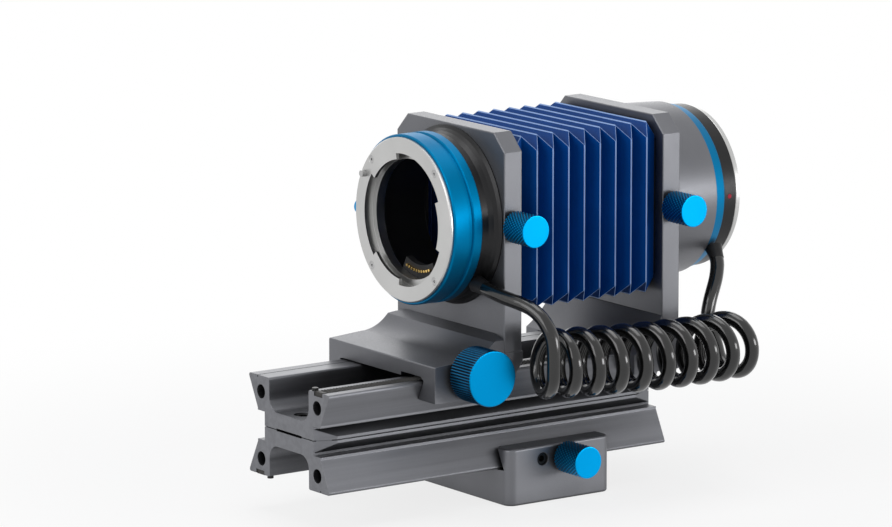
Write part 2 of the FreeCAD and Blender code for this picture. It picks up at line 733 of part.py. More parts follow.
def sector(inner, outer, start, thickness, angle_from, angle_to):
    """A slice of a ring about the optical axis, from start along +Y."""
    pie = doc.addObject("Part::Cylinder", "sector")
    pie.Angle = angle_to - angle_from
    bind(pie, Radius=outer, Height=thickness)
    spin = FreeCAD.Rotation(Vector(0, 1, 0), -angle_from)
    place(pie, (0, "%s + %s" % (start, thickness), "axis_height"), spin.multiply(AXIS_TURNS["-y"]))
    core = cylinder(inner, "%s + 2" % thickness, (0, "%s - 1" % start, "axis_height"), "+y")
    return cut(pie, core)


LENS_SCREW_ANGLES = (45, 135, 225, 315)
CAMERA_SCREW_ANGLES = (20, 110, 200, 290)
LENS_LUG_ANGLES = (-20, 100, 220)
CAMERA_LUG_ANGLES = (10, 130, 250)


def turned_about_axis(corners):
    return turned("YZ_Plane", corners, (0, 0, "axis_height"))


def front_adapter():
    tube = [
        (-40, 23.8), (-40, 26.0), (-34.0, 26.0), (-34.0, 30.2), (-31.0, 30.3), (-29.0, 30.8),
        (-27.6, 31.6), (-26.7, 32.7), (-26.3, 32.7), (-26.3, 26.9), (-23.7, 26.9), (-22.4, 25.6),
        (-21.1, 26.9), (-20.7, 26.9), (-20.7, 23.8),
    ]
    node("front_tube", turned_about_axis(tube))
    ring = [
        (-46.1, 26.05), (-46.1, 30.6), (-45.7, 31.0), (-39.7, 31.0), (-39.2, 30.2), (-38.1, 30.2),
        (-37.6, 31.1), (-34.4, 31.1), (-34.0, 30.8), (-34.0, 26.05),
    ]
    tools = ring_screw_holes("-46.2", 27.6, "+y", LENS_SCREW_ANGLES, 0.95)
    tools += [
        cylinder(2.95, 12, (-24, "release_y", "axis_height"), "-x"),
        cylinder(1.25, 8, (-23.9, -46.2, "axis_height + 13.8"), "+y"),
    ]
    node("front_ring", cut(turned_about_axis(ring), *tools))
    bayonet = [
        (-47.3, 24.2), (-47.3, 29.6), (-46.9, 30.0), (-46.1, 30.0), (-46.1, 26.0), (-40.05, 26.0),
        (-40.05, "lens_throat"), (-43.6, "lens_throat"), (-43.6, 24.2),
    ]
    lugs = [sector("lens_throat", 24.3, "-47.3", 1.2, angle, angle + 44) for angle in LENS_LUG_ANGLES]
    holes = ring_screw_holes("-47.3", 27.6, "+y", LENS_SCREW_ANGLES)
    holes += [
        cylinder(2.95, 12, (-24.6, "release_y", "axis_height"), "-x"),
        cylinder(1.25, 8, (-23.9, -47.4, "axis_height + 13.8"), "+y"),
    ]
    node("front_bayonet", cut(fuse(turned_about_axis(bayonet), *lugs), *holes))
    ring_screws("front_bayonet_screws", "-47.3", 27.6, "+y", LENS_SCREW_ANGLES)
    node("front_contact_block", sector(17.2, 23.8, "-39.9", 2.6, -118, -62))
    node("front_contact_pins", contact_pins(19.4, "-39.9", "-y"))
    lens_release()


def contact_pins(radius, face, way):
    pins = []
    for number in range(10):
        angle = math.radians(-90 + 4.6 * (number - 4.5))
        at = (radius * math.cos(angle), face, "axis_height + %s" % (radius * math.sin(angle)))
        pins.append(cylinder(0.5, 0.9, at, way))
    return group(pins)


def lens_release():
    """Sprung button on the ring's far side and the pin that locks the lens."""
    button = [(28.2, 0), (28.2, 2.9), (33.0, 2.9), (33.4, 2.5), (33.4, 0)]
    place_at = (0, "release_y", "axis_height")
    node("lens_release_button", turned("XZ_Plane", button, place_at, UPSIDE_DOWN))
    node("release_spring", spring("release_wire", 2.0, 0.25, 3.0, 4, (-24.9, "release_y", 0), "-x"))
    node("lens_lock_pin", cylinder(1.2, 5.2, (-23.9, -49.0, "axis_height + 13.8"), "+y"))
    node("lock_pin_spring", spring("pin_wire", 0.85, 0.2, 4.0, 7, (-23.9, -43.4, 13.8), "+y"))


def rounded_path(points):
    """Straight runs joined by tangent arcs, as large as the two runs allow."""
    edges, radii = [], []
    start = points[0]
    for before, corner, after in zip(points, points[1:], points[2:]):
        arriving, leaving = corner - before, after - corner
        turn = arriving.getAngle(leaving)
        setback = 0.45 * min(arriving.Length, leaving.Length)
        radius = setback / math.tan(turn / 2)
        radii.append(round(radius, 1))
        inward, outward = arriving.normalize(), leaving.normalize()
        arc_start, arc_end = corner - inward * setback, corner + outward * setback
        bisector = (outward - inward).normalize()
        centre = corner + bisector * math.hypot(radius, setback)
        arc_middle = centre - bisector * radius
        edges.append(Part.LineSegment(start, arc_start).toShape())
        edges.append(Part.Arc(arc_start, arc_middle, arc_end).toShape())
        start = arc_end
    edges.append(Part.LineSegment(start, points[-1]).toShape())
    return Part.Wire(edges), radii


def spring(name, radius, wire_radius, length, turns, at, axis):
    """A wound spring of eight short runs a turn, whose at is relative to the optical axis in Z."""
    points = []
    for step in range(8 * turns + 1):
        angle = math.radians(45 * step)
        rise = length * step / (8 * turns)
        points.append(Vector(radius * math.cos(angle), radius * math.sin(angle), rise))
    path, _ = rounded_path(points)
    circle = Part.Wire(Part.makeCircle(wire_radius, points[0], points[1] - points[0]))
    wound = path.makePipeShell([circle], True, False)
    return place(feature(name, wound), (at[0], at[1], "axis_height + %s" % at[2]), AXIS_TURNS[axis])


def rear_adapter():
    tube = [
        (47.4, 23.8), (47.4, 26.9), (47.8, 26.9), (49.1, 25.6), (50.4, 26.9), (53.0, 26.9),
        (53.0, 33.0), (71.4, 32.1), (71.4, 28.5), (75.0, 28.5), (75.0, 27.0), (58.0, 27.0),
        (56.0, 23.8),
    ]
    node("rear_tube", turned_about_axis(tube))
    ring = [(71.4, 28.55), (71.4, 31.5), (71.7, 31.6), (75.7, 30.9), (76.1, 30.6), (76.1, 28.55)]
    node("rear_ring", turned_about_axis(ring))
    mount = [(76.1, 23.8), (76.1, 30.3), (81.6, 30.3), (82.0, 29.9), (82.0, 23.8)]
    holes = ring_screw_holes("82.1", 26.8, "-y", CAMERA_SCREW_ANGLES, 0.95)
    dot = (29.75, 78.7, "axis_height + 0.1")
    node("rear_mount_ring", cut(turned_about_axis(mount), *holes, cylinder(0.87, 3, dot, "+x")))
    whole = cylinder(0.85, 3, dot, "+x")
    shell = cylinder(30.35, 12, (0, 74, "axis_height"), "+y")
    node("index_dot", common(whole, shell))
    bayonet = [
        (82.0, "camera_throat"), (82.0, 29.5), (82.4, 29.8), (83.9, 29.8), (83.9, 21.7),
        (88.4, 21.7), (88.8, 21.3), (88.8, "camera_throat"),
    ]
    lugs = [sector(21.6, 23.0, "86.8", 1.6, angle, angle + 42) for angle in CAMERA_LUG_ANGLES]
    holes = ring_screw_holes("83.9", 26.8, "-y", CAMERA_SCREW_ANGLES)
    holes.append(cylinder(1.5, 3, (26.6, 82.9, "axis_height - 3"), "+y"))
    node("rear_bayonet", cut(fuse(turned_about_axis(bayonet), *lugs), *holes))
    ring_screws("rear_bayonet_screws", "83.9", 26.8, "-y", CAMERA_SCREW_ANGLES)
    node("rear_contact_block", sector(16.6, "camera_throat", "84.4", 3.6, -118, -62))
    node("rear_contact_pins", contact_pins(18.4, "88.0", "+y"))


# ---------------------------------------------------------------- bellows and cord

def octagon(half_width, half_height, corner, y, centre_z):
    """One section of the bellows, counter-clockwise seen from the rear."""
    w, v, c = half_width, half_height, corner
    right = [(w, c - v), (w, v - c), (w - c, v)]
    left = [(c - w, v), (-w, v - c), (-w, c - v), (c - w, -v), (w - c, -v)]
    points = [Vector(x, y, centre_z + z) for x, z in right + left]
    return Part.makePolygon(points + points[:1])


def bellows_skin(inset, overrun):
    """The folded skin: the sides and the top and bottom stand out on alternate sections.

    Both ends are as narrow as the frames that they are glued to.
    """
    front = size["front_standard_face"] + size["standard_thickness"]
    length = size["rear_standard_face"] - front
    half_folds = 2 * int(size["folds"])
    centre = size["axis_height"] - size["bellows_drop"]
    wires = []
    for number in range(half_folds + 1):
        side_peak, at_end = number % 2 == 0, number in (0, half_folds)
        width = size["fold_peak_width"] if side_peak and not at_end else size["fold_valley_width"]
        height = size["fold_valley_height"] if side_peak else size["fold_peak_height"]
        y = front + length * number / half_folds
        y += {0: -overrun, half_folds: overrun}.get(number, 0.0)
        wires.append(octagon(width - inset, height - inset, size["fold_corner"], y, centre))
    return Part.makeLoft(wires, True, True)


def bellows():
    skin = bellows_skin(0.0, -0.05).cut(bellows_skin(size["bellows_wall"], 0.5))
    return node("bellows", feature("bellows", skin))


# Each list runs from the adapter's boot to the coil.
FRONT_LEAD = [
    (25.4, -31.0, 82.0), (31.5, -31.0, 80.9), (38.5, -29.8, 79.5), (45.2, -28.2, 78.5),
    (50.7, -26.8, 77.2), (55.2, -25.4, 74.2), (58.3, -24.3, 69.8), (59.6, -23.6, 65.2),
]
REAR_LEAD = [
    (26.7, 75.0, 82.6), (28.7, 74.5, 80.2), (30.2, 73.2, 77.0), (31.3, 71.7, 73.7), (32.4, 69.6, 70.5),
    (33.4, 67.4, 66.8), (33.8, 66.0, 62.0), (33.8, 65.9, 57.4), (35.0, 67.8, 53.6),
]
COIL_AXIS = [(49.3, -23.9, 56.4), (52.9, 24.9, 54.2), (46.9, 70.5, 52.6)]


def cord_tube(label, route):
    """A round tube along the route, its volume compared with its section times its length."""
    points = [Vector(*point) for point in route]
    path, radii = rounded_path(points)
    radius = size["cord_diameter"] / 2
    circle = Part.Wire(Part.makeCircle(radius, points[0], points[1] - points[0]))
    tube = path.makePipeShell([circle], True, False)
    expected = math.pi * radius ** 2 * path.Length
    print(label, "radii", radii, "length", round(path.Length, 2))
    print(label, "volume over section times length", round(tube.Volume / expected, 4))
    return node(label, feature(label, tube))


def cord_coil():
    """The closed outer shape of the curly part: one fat tube along its bowed axis."""
    start, middle, end = (Vector(*point) for point in COIL_AXIS)
    arc = Part.Arc(start, middle, end)
    path = Part.Wire(arc.toShape())
    heading = arc.tangent(arc.FirstParameter)[0]
    circle = Part.Wire(Part.makeCircle(size["coil_outer_diameter"] / 2, start, heading))
    return node("cord_coil", feature("cord_coil", path.makePipeShell([circle], True, False)))


def boot(label, lead, reach, wide, narrow, holders):
    """A tapered strain relief that leaves the adapter and meets the lead's first face squarely."""
    tip, following = Vector(*lead[0]), Vector(*lead[1])
    heading = (following - tip).normalize()
    cone_shape = Part.makeCone(wide, narrow, reach, tip - heading * reach, heading)
    core = cylinder(29.0, 30, (0, tip.y - 15, "axis_height"), "+y")
    tools = [core] + [nodes[name] for name in holders]
    return node(label, cut(feature(label + "_cone", cone_shape), *tools))


# ---------------------------------------------------------------- assembly

def rail_fasteners():
    height = "joint_height + trough_floor - join_sink_depth + join_head_height"
    screws, nuts = [], []
    for number in range(4):
        y = "rail_front + join_first + join_spacing * %d" % number
        screws.append(cap_screw("join_head_radius", "join_head_height", "join_shank_radius",
                                9.4, (0, y, height), "-z"))
        ring = cylinder("join_head_radius", "join_head_height", (0, 0, 0))
        hole = cylinder("join_shank_radius + running_gap", 10, (0, 0, -1))
        foot = "joint_height - trough_floor + join_sink_depth - join_head_height"
        nuts.append(place(cut(ring, hole), (0, y, foot)))
    node("rail_screws", group(screws))
    node("rail_nuts", group(nuts))
    pins = []
    for turn in (None, UPSIDE_DOWN):
        pin = cylinder("stop_pin_radius", 4, ("stop_pin_across", "stop_pin_inset", "rail_depth - 3"))
        pins.append(place(group([pin]), (0, "rail_front", "joint_height"), turn))
    node("rail_stop_pins", group(pins))


rail("upper_rail", None)
rail("lower_rail", UPSIDE_DOWN)
rack("upper_rack", size["drive_y"], None)
rack("lower_rack", size["focus_drive_y"], UPSIDE_DOWN)
rail_fasteners()
focusing_block()
front_carriage()
rear_foot()
standard("front", "front_standard_face", "front_standard_face + standard_thickness - frame_depth",
         "front_standard_face + standard_thickness - frame_depth")
standard("rear", "rear_standard_face", "rear_standard_face + frame_depth - (frame_depth + 10)",
         "rear_standard_face + 0.2")
front_adapter()
rear_adapter()
bellows()
boot("front_cord_boot", FRONT_LEAD, 10.0, 3.3, 2.7, ["front_tube", "front_ring"])
boot("rear_cord_boot", REAR_LEAD, 7.5, 3.8, 2.7, ["rear_ring", "rear_mount_ring"])
cord_tube("cord_front_lead", FRONT_LEAD)
cord_tube("cord_rear_lead", REAR_LEAD)
cord_coil()
doc.recompute()


def check():
    for thing in doc.Objects:
        if "Invalid" in thing.State or "Error" in thing.State:
            raise RuntimeError("%s (%s) failed: %s" % (thing.Name, thing.Label, thing.State))
    for label, thing in nodes.items():
        if thing.Shape.isNull() or not thing.Shape.isValid() or not thing.Shape.Solids:
            raise RuntimeError("%s has no valid solid" % label)


def export():
    os.makedirs("parts", exist_ok=True)
    for label, thing in nodes.items():
        thing.Shape.exportStep("parts/%s.step" % label)
        solids = thing.Shape.Solids
        print("%-24s solids %d  volume %.1f" % (label, len(solids), thing.Shape.Volume))


check()
export()
print(len(nodes), "nodes")
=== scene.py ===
"""Looks of the macro bellows unit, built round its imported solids.

Metres, in the solids' own frame: +Y runs from the lens side to the camera side, +Z is up, and the front
drive knob and the curly cord are on +X. Shapes are written in millimetres and scaled by MM.
"""

import json
import math

import bmesh
import bpy
from mathutils import Matrix, Vector


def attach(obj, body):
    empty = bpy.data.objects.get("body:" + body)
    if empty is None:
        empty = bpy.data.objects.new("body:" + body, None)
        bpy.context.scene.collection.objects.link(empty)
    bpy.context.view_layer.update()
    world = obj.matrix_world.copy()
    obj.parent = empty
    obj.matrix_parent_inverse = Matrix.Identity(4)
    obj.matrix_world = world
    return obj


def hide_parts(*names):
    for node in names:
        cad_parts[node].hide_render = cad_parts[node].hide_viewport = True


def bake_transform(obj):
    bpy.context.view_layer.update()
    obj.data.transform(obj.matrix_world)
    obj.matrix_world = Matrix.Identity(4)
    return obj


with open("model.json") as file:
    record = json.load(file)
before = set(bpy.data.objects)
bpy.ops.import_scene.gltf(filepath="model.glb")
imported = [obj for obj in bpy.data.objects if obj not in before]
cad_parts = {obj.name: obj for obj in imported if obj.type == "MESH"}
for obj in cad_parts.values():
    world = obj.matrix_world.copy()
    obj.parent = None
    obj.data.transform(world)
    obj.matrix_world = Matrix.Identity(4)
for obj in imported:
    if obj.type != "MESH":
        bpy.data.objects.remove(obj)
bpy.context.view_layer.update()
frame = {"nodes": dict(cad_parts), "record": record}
MM = 0.001

AXIS_Z = 103.9                 # optical axis
UP = Vector((0, 0, 1))


# ---------------------------------------------------------------- camera, floor and light

CAMERA_AT = (1.62091, -1.18379, 0.46195)
CAMERA_AZIMUTH, CAMERA_ELEVATION = 54.33, 10.76
FOCAL_LENGTH = 225.45          # for a sensor 36 mm wide
IMAGE_WIDTH = 892              # pixels
SHIFT_RIGHT, SHIFT_UP = -17.478, 6.056               # pixels
FLOOR_RADIUS = 4.0
FLOOR_DROP = 0.0001            # the floor lies this far under the block, so no two faces coincide
SHADOW_FADE = (0.12, 0.34)     # the floor's own shading fades out between these distances
UNDER_WHITE = 0.8              # how much plain white the floor shows right under the object


def make_camera():
    azimuth, elevation = math.radians(CAMERA_AZIMUTH), math.radians(CAMERA_ELEVATION)
    back = Vector((math.sin(azimuth) * math.cos(elevation),
                   -math.cos(azimuth) * math.cos(elevation), math.sin(elevation)))
    right = Vector((math.cos(azimuth), math.sin(azimuth), 0))
    up = back.cross(right)
    data = bpy.data.cameras.new("camera")
    camera = bpy.data.objects.new("camera", data)
    bpy.context.scene.collection.objects.link(camera)
    turn = Matrix((right, up, back)).transposed().to_4x4()
    camera.matrix_world = Matrix.Translation(CAMERA_AT) @ turn
    data.sensor_width = 36
    data.lens = FOCAL_LENGTH
    data.shift_x = SHIFT_RIGHT / IMAGE_WIDTH
    data.shift_y = SHIFT_UP / IMAGE_WIDTH
    data.clip_end = 20
    bpy.context.scene.camera = camera


def area_light(name, at, target, size, power):
    data = bpy.data.lights.new(name, "AREA")
    data.shape = "RECTANGLE"
    data.size, data.size_y = size
    data.energy = power
    light = bpy.data.objects.new(name, data)
    bpy.context.scene.collection.objects.link(light)
    light.location = at
    light.rotation_euler = (Vector(target) - Vector(at)).to_track_quat("-Z", "Y").to_euler()


def seen_directly(tree):
    """1 for what the camera sees, itself or in a mirror or through glass, and 0 for light that falls."""
    path = tree.nodes.new("ShaderNodeLightPath")
    seen = path.outputs["Is Camera Ray"]
    for ray in ("Is Glossy Ray", "Is Transmission Ray"):
        either = tree.nodes.new("ShaderNodeMath")
        either.operation = "MAXIMUM"
        tree.links.new(seen, either.inputs[0])
        tree.links.new(path.outputs[ray], either.inputs[1])
        seen = either.outputs[0]
    return seen


def make_world():
    """Soft light from all round, seen as plain white."""
    world = bpy.data.worlds.new("studio")
    bpy.context.scene.world = world
    world.use_nodes = True
    tree = world.node_tree
    tree.nodes.clear()
    out = tree.nodes.new("ShaderNodeOutputWorld")
    mix = tree.nodes.new("ShaderNodeMixShader")
    soft = tree.nodes.new("ShaderNodeBackground")
    white = tree.nodes.new("ShaderNodeBackground")
    soft.inputs["Color"].default_value = (0.95, 0.97, 1.0, 1)
    soft.inputs["Strength"].default_value = 0.28
    white.inputs["Color"].default_value = (1, 1, 1, 1)
    white.inputs["Strength"].default_value = 1.0
    tree.links.new(seen_directly(tree), mix.inputs[0])
    tree.links.new(soft.outputs[0], mix.inputs[1])
    tree.links.new(white.outputs[0], mix.inputs[2])
    tree.links.new(mix.outputs[0], out.inputs[0])


def make_floor():
    """A round pale floor that holds the shadow near the object and runs out to plain white."""
    mesh = bpy.data.meshes.new("floor")
    builder = bmesh.new()
    bmesh.ops.create_circle(builder, cap_ends=True, radius=FLOOR_RADIUS, segments=96)
    builder.to_mesh(mesh)
    builder.free()
    floor = bpy.data.objects.new("floor", mesh)
    bpy.context.scene.collection.objects.link(floor)
    material = bpy.data.materials.new("pale_floor")
    material.use_nodes = True
    tree = material.node_tree
    shader = tree.nodes["Principled BSDF"]
    shader.inputs["Base Color"].default_value = (0.93, 0.93, 0.93, 1)
    shader.inputs["Roughness"].default_value = 0.9
    shader.inputs["Specular IOR Level"].default_value = 0.1
    white = tree.nodes.new("ShaderNodeEmission")
    place = tree.nodes.new("ShaderNodeTexCoord")
    distance = tree.nodes.new("ShaderNodeVectorMath")
    distance.operation = "LENGTH"
    fade = tree.nodes.new("ShaderNodeMapRange")
    fade.interpolation_type = "SMOOTHSTEP"
    fade.inputs["From Min"].default_value, fade.inputs["From Max"].default_value = SHADOW_FADE
    fade.inputs["To Min"].default_value = UNDER_WHITE
    share = tree.nodes.new("ShaderNodeMath")
    share.operation = "MULTIPLY"
    mix = tree.nodes.new("ShaderNodeMixShader")
    tree.links.new(place.outputs["Object"], distance.inputs[0])
    tree.links.new(distance.outputs["Value"], fade.inputs["Value"])
    tree.links.new(seen_directly(tree), share.inputs[0])
    tree.links.new(fade.outputs["Result"], share.inputs[1])
    tree.links.new(share.outputs[0], mix.inputs[0])
    tree.links.new(shader.outputs[0], mix.inputs[1])
    tree.links.new(white.outputs[0], mix.inputs[2])
    tree.links.new(mix.outputs[0], tree.nodes["Material Output"].inputs["Surface"])
    mesh.materials.append(material)
    floor.location.z = -FLOOR_DROP


make_camera()
make_world()
make_floor()
area_light("key", (1.15, 0.72, 0.15), (0, 0, 0.07), (0.7, 0.32), 5.9)
area_light("top", (0.0, 0.1, 1.25), (0, 0, 0.07), (0.8, 0.8), 5.1)
area_light("front", (0.1, -1.35, 0.6), (0, 0, 0.07), (1.1, 0.9), 8.5)
area_light("back", (-1.15, 0.75, 0.5), (0, 0, 0.1), (1.2, 1.0), 3.5)
bpy.context.scene.view_settings.view_transform = "Standard"


# ---------------------------------------------------------------- materials

class Shader:
    """A material with its principled shader and short ways to build what feeds it."""

    def __init__(self, name, colour, roughness, metallic=0.0):
        self.material = bpy.data.materials.new(name)
        self.material.use_nodes = True
        self.tree = self.material.node_tree
        self.principled = self.tree.nodes["Principled BSDF"]
        self.set("Base Color", (*colour, 1))
        self.set("Roughness", roughness)
        self.set("Metallic", metallic)
        self.normal = None

    def set(self, socket, value):
        self.principled.inputs[socket].default_value = value

    def feed(self, socket, source):
        self.link(source, self.principled.inputs[socket])

    def add(self, kind, **values):
        """A new node whose values name its input sockets or, failing that, its settings."""
        node = self.tree.nodes.new("ShaderNode" + kind)
        for name, value in values.items():
            if name in node.inputs:
                node.inputs[name].default_value = value
            else:
                setattr(node, name, value)
        return node

    def link(self, source, target):
        self.tree.links.new(source, target)

    def noise(self, scale, stretch=(1, 1, 1), detail=3.0):
        place = self.add("TexCoord")
        mapping = self.add("Mapping", Scale=stretch)
        node = self.add("TexNoise", Scale=scale, Detail=detail)
        self.link(place.outputs["Object"], mapping.inputs["Vector"])
        self.link(mapping.outputs["Vector"], node.inputs["Vector"])
        return node.outputs["Fac"]

    def ramp(self, source, dark, light):
        """Dark where the source is 0.3 or less, light where it is 0.7 or more."""
        node = self.add("ValToRGB")
        for element, position, colour in zip(node.color_ramp.elements, (0.3, 0.7), (dark, light)):
            element.position = position
            element.color = (*colour, 1)
        self.link(source, node.inputs["Fac"])
        return node.outputs["Color"]

    def span(self, source, low, high, to_low, to_high):
        node = self.add("MapRange")
        for name, value in (("From Min", low), ("From Max", high), ("To Min", to_low), ("To Max", to_high)):
            node.inputs[name].default_value = value
        self.link(source, node.inputs["Value"])
        return node.outputs["Result"]

    def mixed(self, factor, source, colour):
        """The source where the factor is 0, the plain colour where it is 1."""
        node = self.add("Mix", data_type="RGBA")
        self.link(factor, node.inputs[0])
        self.link(source, node.inputs[6])
        node.inputs[7].default_value = (*colour, 1)
        return node.outputs[2]

    def painted_corner_shade(self, colour, reach, open_share):
        """Painted shade: the colour, darker where surfaces within reach leave less than the open share of
        the sky.
        """
        openness = self.add("AmbientOcclusion", samples=6, Distance=reach)
        factor = self.span(openness.outputs["AO"], 0.0, open_share, 0.0, 1.0)
        node = self.add("Mix", data_type="RGBA", blend_type="MULTIPLY")
        node.inputs[0].default_value = 1.0
        self.link(colour, node.inputs[6])
        self.link(factor, node.inputs[7])
        return node.outputs[2]

    def round_edges(self, radius):
        self.normal = self.add("Bevel", samples=4, Radius=radius).outputs["Normal"]

    def bump(self, source, distance, strength):
        node = self.add("Bump", Distance=distance, Strength=strength)
        self.link(source, node.inputs["Height"])
        if self.normal is not None:
            self.link(self.normal, node.inputs["Normal"])
        self.normal = node.outputs["Normal"]

    def finish(self):
        self.feed("Normal", self.normal)
        return self.material


def tint(colour, factor):
    return tuple(min(1.0, channel * factor) for channel in colour)


def anodised(name, colour, roughness, metallic, grain=(1, 1, 1), edge=0.00025, streak=0.0,
             groove=None, blast=0.4, corner_shade=(0.012, 0.65)):
    """Bead blasted and anodised aluminium: a fine grain, slow mottling and softly rounded edges.

    A streak follows the grain's direction. A dark groove colour is painted as shade where the groove
    attribute marks, and painted shade darkens corners and recesses.
    """
    shader = Shader(name, colour, roughness, metallic)
    shader.round_edges(edge)
    shade = shader.ramp(shader.noise(35, detail=4), tint(colour, 0.92), tint(colour, 1.08))
    if streak:
        lines = shader.noise(420, grain, 3)
        shade = shader.mixed(shader.span(lines, 0.35, 0.65, 0, 1), shade, tint(colour, 1 + streak))
    # painted shade: the knurl's grooves darken to the groove colour
    if groove:
        marked = shader.add("Attribute", attribute_name="groove")
        shade = shader.mixed(marked.outputs["Fac"], shade, groove)
    # painted shade: the colour darkens in corners and recesses, where nearby surfaces block the sky
    shader.feed("Base Color", shader.painted_corner_shade(shade, *corner_shade))
    fine = shader.noise(1800, grain, 2)
    shader.feed("Roughness", shader.span(fine, 0.3, 0.7, roughness - 0.1 * blast, roughness + 0.12 * blast))
    shader.bump(fine, 0.00002, blast)
    return shader.finish()


def machined(name, colour, roughness):
    """Plain turned or ground metal."""
    shader = Shader(name, colour, roughness, 1.0)
    shader.round_edges(0.00012)
    mottle = shader.noise(60, detail=4)
    shader.feed("Base Color", shader.ramp(mottle, tint(colour, 0.94), tint(colour, 1.06)))
    fine = shader.noise(1500, detail=2)
    shader.feed("Roughness", shader.span(fine, 0.3, 0.7, roughness - 0.01, roughness + 0.02))
    shader.bump(fine, 0.000001, 0.1)
    return shader.finish()


def moulded(name, colour, roughness, specular, coat=0.0, peel_depth=0.00004):
    """Moulded plastic or rubber with a faint orange peel."""
    shader = Shader(name, colour, roughness)
    shader.set("Specular IOR Level", specular)
    shader.set("Coat Weight", coat)
    shader.set("Coat Roughness", 0.09)
    peel = shader.noise(260, detail=2)
    shader.feed("Base Color", shader.ramp(peel, tint(colour, 0.85), tint(colour, 1.15)))
    shader.feed("Roughness", shader.span(peel, 0.3, 0.7, roughness - 0.04, roughness + 0.06))
    shader.bump(peel, peel_depth, 0.35)
    return shader.finish()


def bellows_cloth(name):
    """Navy coated cloth with a light blue highlight painted along its crests."""
    shader = Shader(name, (0.0012, 0.042, 0.2), 0.45)
    crest = shader.add("Attribute", attribute_name="crest")
    weave = shader.noise(900, detail=2)
    mottle = shader.noise(45, detail=4)
    cloth = shader.ramp(mottle, (0.001, 0.037, 0.178), (0.0016, 0.048, 0.23))
    # painted highlight: crests and cut corners turn light blue
    crest_highlight = shader.add("Math", operation="MULTIPLY")
    shader.link(crest.outputs["Fac"], crest_highlight.inputs[0])
    shader.link(shader.span(mottle, 0.2, 0.8, 0.7, 1.0), crest_highlight.inputs[1])
    shader.feed("Base Color", shader.mixed(crest_highlight.outputs[0], cloth, (0.4, 0.57, 0.92)))
    shader.bump(weave, 0.00004, 0.5)
    shader.set("Specular IOR Level", 0.4)
    shader.set("Specular Tint", (0.02, 0.25, 1.0, 1))
    return shader.finish()


GREY = (0.152, 0.155, 0.168)
BLUE = (0.0, 0.26, 0.57)
# colour of the painted shade in knurl and flute grooves
GROOVE_SHADE_BLUE = (0.0, 0.012, 0.035)
BLACK = (0.012, 0.012, 0.013)
ALONG = (1, 0.015, 1)

MATERIALS = {
    "anodised_grey": anodised("anodised_grey", GREY, 0.4, 0.8),
    # the rails get deeper painted shade in their troughs and grooves
    "rail_grey": anodised("rail_grey", GREY, 0.39, 0.8, grain=ALONG, edge=0.0004, streak=0.2,
                          corner_shade=(0.03, 0.8)),
    "anodised_blue": anodised("anodised_blue", BLUE, 0.3, 1.0, groove=GROOVE_SHADE_BLUE, blast=0.03),
    "drive_blue": anodised("drive_blue", tint(BLUE, 0.68), 0.3, 1.0, groove=GROOVE_SHADE_BLUE, blast=0.03),
    "ring_blue": anodised("ring_blue", (0.0, 0.145, 0.31), 0.46, 1.0, blast=0.15),
    "anodised_black": anodised("anodised_black", (0.015, 0.015, 0.016), 0.36, 0.6),
    "black_metal": anodised("black_metal", (0.006, 0.006, 0.007), 0.65, 0.2),
    "steel": machined("steel", (0.42, 0.42, 0.42), 0.3),
    # near black with a yellow cast: painted shade for the shaded teeth of a grey steel rack
    "rack_steel": moulded("rack_steel", (0.023, 0.0215, 0.02), 0.5, 0.3),
    "black_steel": machined("black_steel", (0.03, 0.03, 0.03), 0.4),
    "bayonet_chrome": machined("bayonet_chrome", (0.5, 0.5, 0.495), 0.3),
    "brass": machined("brass", (0.62, 0.42, 0.16), 0.3),
    "gold_contacts": machined("gold_contacts", (0.85, 0.58, 0.2), 0.22),
    "black_plastic": moulded("black_plastic", BLACK, 0.5, 0.3),
    "red_paint": moulded("red_paint", (0.42, 0.004, 0.03), 0.4, 0.2),
    "black_rubber": moulded("black_rubber", BLACK, 0.4, 0.25),
    "cord_jacket": moulded("cord_jacket", (0.003, 0.003, 0.003), 0.17, 0.4, coat=0.5,
                           peel_depth=0.00025),
    "bellows_cloth": bellows_cloth("bellows_cloth"),
}


# ---------------------------------------------------------------- mesh helpers

def mesh_object(name, vertices, faces, smooth=True):
    mesh = bpy.data.meshes.new(name)
    mesh.from_pydata([tuple(v) for v in vertices], [], faces)
    mesh.update()
    piece = bpy.data.objects.new(name, mesh)
    bpy.context.scene.collection.objects.link(piece)
    if smooth:
        mesh.shade_smooth()
    return piece


def ring_faces(rings, sides):
    """Quads that join each ring of vertices to the next one."""
    for ring in range(rings - 1):
        for number in range(sides):
            here, following = ring * sides, (number + 1) % sides
            there = here + sides
            yield here + number, here + following, there + following, there + number


def directions_across(heading):
    """Two directions square to a heading and to each other: sideways and upwards."""
    sideways = heading.cross(UP).normalized()
    return sideways, sideways.cross(heading)


def turned(first, second, angle):
    """The direction at an angle from first towards second."""
    return first * math.cos(angle) + second * math.sin(angle)


def sharpen(piece, degrees):
    piece.data.set_sharp_from_angle(angle=math.radians(degrees))


def wear(piece, material):
    piece.data.materials.clear()
    piece.data.materials.append(MATERIALS[material])


